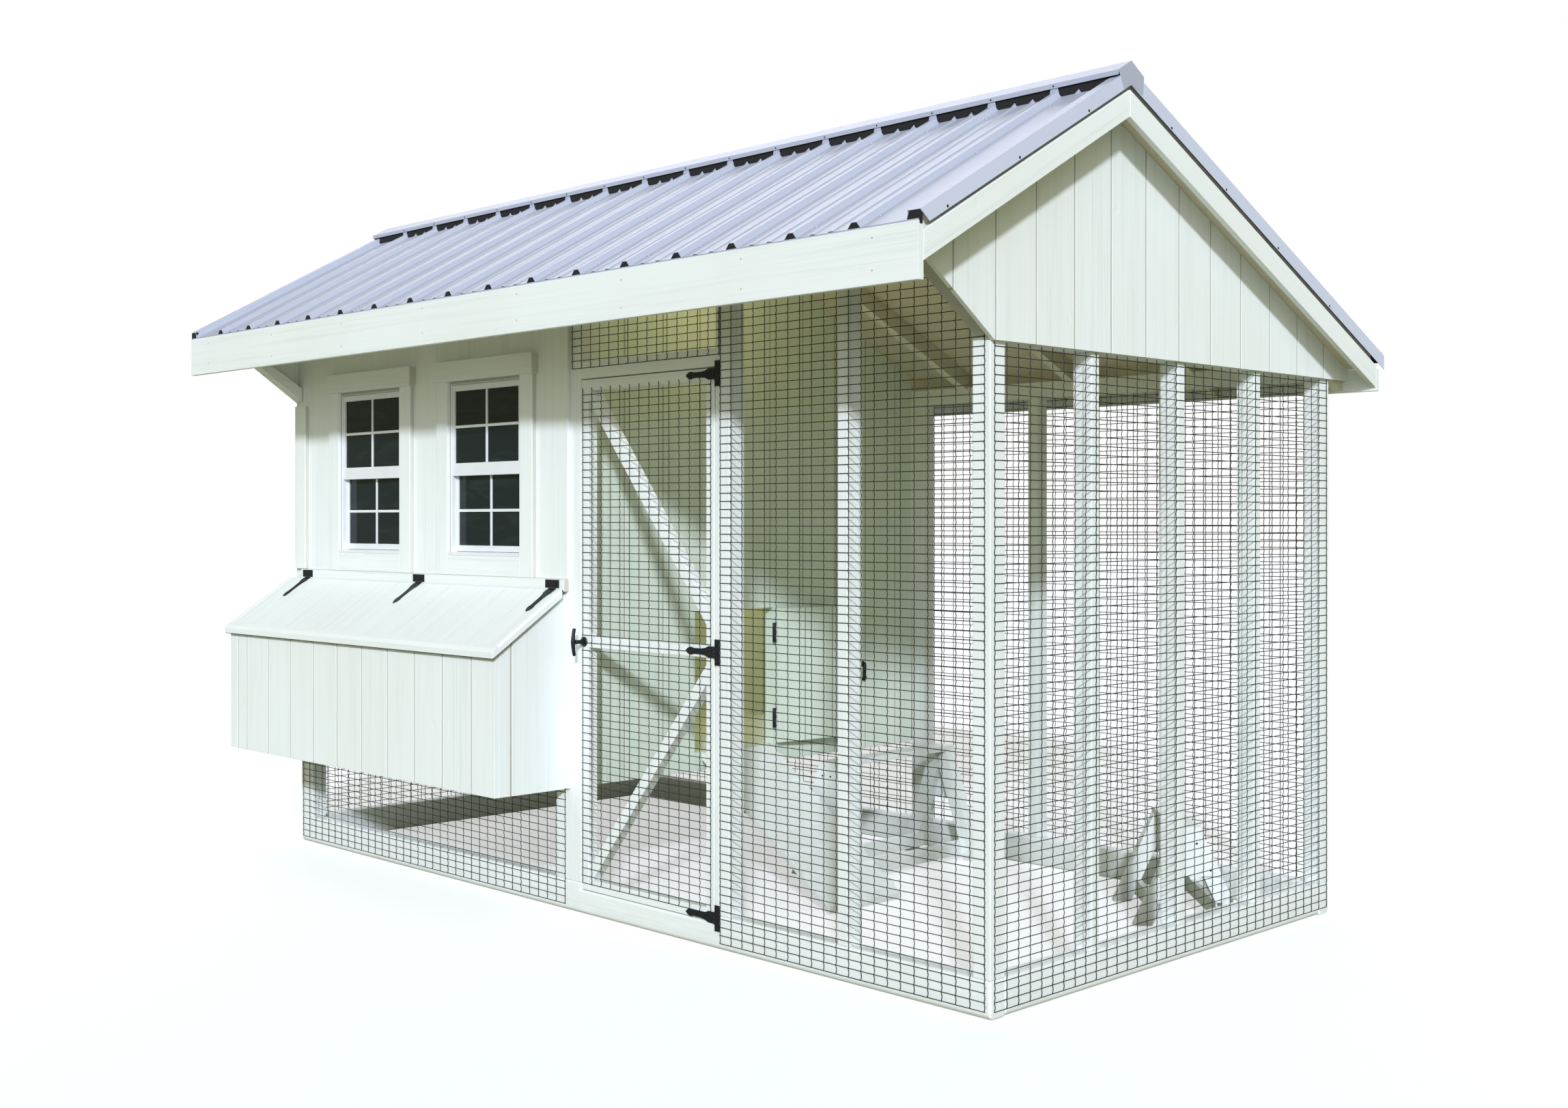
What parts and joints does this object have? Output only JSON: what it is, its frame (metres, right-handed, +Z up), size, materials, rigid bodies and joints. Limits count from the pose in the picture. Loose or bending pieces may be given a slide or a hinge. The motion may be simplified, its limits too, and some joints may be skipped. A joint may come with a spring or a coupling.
{
  "type": "chicken coop",
  "caption": "Walk-in coop: raised house with nest box and two windows, wire run with a braced door, ramp and roosts, and a ribbed metal gable roof.",
  "frame": {"origin": "centre of the overall footprint, on the ground", "axes": "+X along the front towards the run, +Y from the front wall to the back, +Z up"},
  "size_m": [3.907, 2.4082, 2.6222],
  "materials": {
    "white_paint": "satin white paint on timber and grooved siding",
    "roof_metal": "semi-gloss pale grey coated steel sheet",
    "wire_mesh": "dark coated welded wire",
    "black_iron": "satin black coated hardware",
    "window_glass": "clear flat glass"
  },
  "bodies": {
    "coop": {"door_header": "white_paint", "fascia_back": "white_paint", "fascia_front": "white_paint", "gable_right": "white_paint", "house_floor": "white_paint", "mesh_back_lower": "wire_mesh", "mesh_back_run": "wire_mesh", "mesh_front_lower": "wire_mesh", "mesh_front_run": "wire_mesh", "mesh_left": "wire_mesh", "mesh_right": "wire_mesh", "mesh_transom": "wire_mesh", "nest_box": "white_paint", "nest_ledger": "white_paint", "partition": "white_paint", "plate_back": "white_paint", "plate_front": "white_paint", "plate_right": "white_paint", "post_back_left": "white_paint", "post_back_mid": "white_paint", "post_back_right": "white_paint", "post_door_hinge": "white_paint", "post_front_left": "white_paint", "post_front_mid": "white_paint", "post_front_right": "white_paint", "rake_board_left": "white_paint", "rake_board_right": "white_paint", "ramp": "white_paint", "ridge_cap": "roof_metal", "roof_deck_back": "white_paint", "roof_deck_front": "white_paint", "roof_metal_back": "roof_metal", "roof_metal_front": "roof_metal", "roost_back": "white_paint", "roost_front": "white_paint", "sill_back": "white_paint", "sill_front": "white_paint", "sill_left": "white_paint", "sill_right": "white_paint", "stud_back_1": "white_paint", "stud_back_2": "white_paint", "stud_front": "white_paint", "stud_right_1": "white_paint", "stud_right_2": "white_paint", "stud_right_3": "white_paint", "wall_back": "white_paint", "wall_front": "white_paint", "wall_left": "white_paint", "window_left_frame": "white_paint", "window_right_frame": "white_paint"},
    "door": {"door_frame": "white_paint", "mesh_door": "wire_mesh", "door_hinge_bottom": "black_iron", "door_hinge_middle": "black_iron", "door_hinge_top": "black_iron"},
    "handle": {"door_handle": "black_iron"},
    "lid": {"nest_lid": "white_paint"},
    "sash_left": {"window_left_sash": "white_paint"},
    "sash_right": {"window_right_sash": "white_paint"},
    "pop_leaf": {"pop_door": "white_paint"}
  },
  "joints": [
    {"name": "door_swing", "type": "hinge", "parent": "coop", "child": "door", "pos_m": [0.7391, -0.7816, 0.9396], "axis": [0, 0, 1], "range_deg": [0, 110]},
    {"name": "handle_turn", "type": "hinge", "parent": "door", "child": "handle", "pos_m": [0.0838, -0.803, 0.9244], "axis": [0, 1, 0], "range_deg": [0, 90]},
    {"name": "lid_lift", "type": "hinge", "parent": "coop", "child": "lid", "pos_m": [-0.9144, -0.8144, 1.0997], "axis": [-1, 0, 0], "range_deg": [0, 100]},
    {"name": "sash_left_slide", "type": "slide", "parent": "coop", "child": "sash_left", "axis": [0, 0, 1], "range_m": [0, 0.28]},
    {"name": "sash_right_slide", "type": "slide", "parent": "coop", "child": "sash_right", "axis": [0, 0, 1], "range_m": [0, 0.28]},
    {"name": "pop_door_swing", "type": "hinge", "parent": "coop", "child": "pop_leaf", "pos_m": [0.0051, 0.1927, 0.7365], "axis": [0, 0, -1], "range_deg": [-7, 173]}
  ]
}
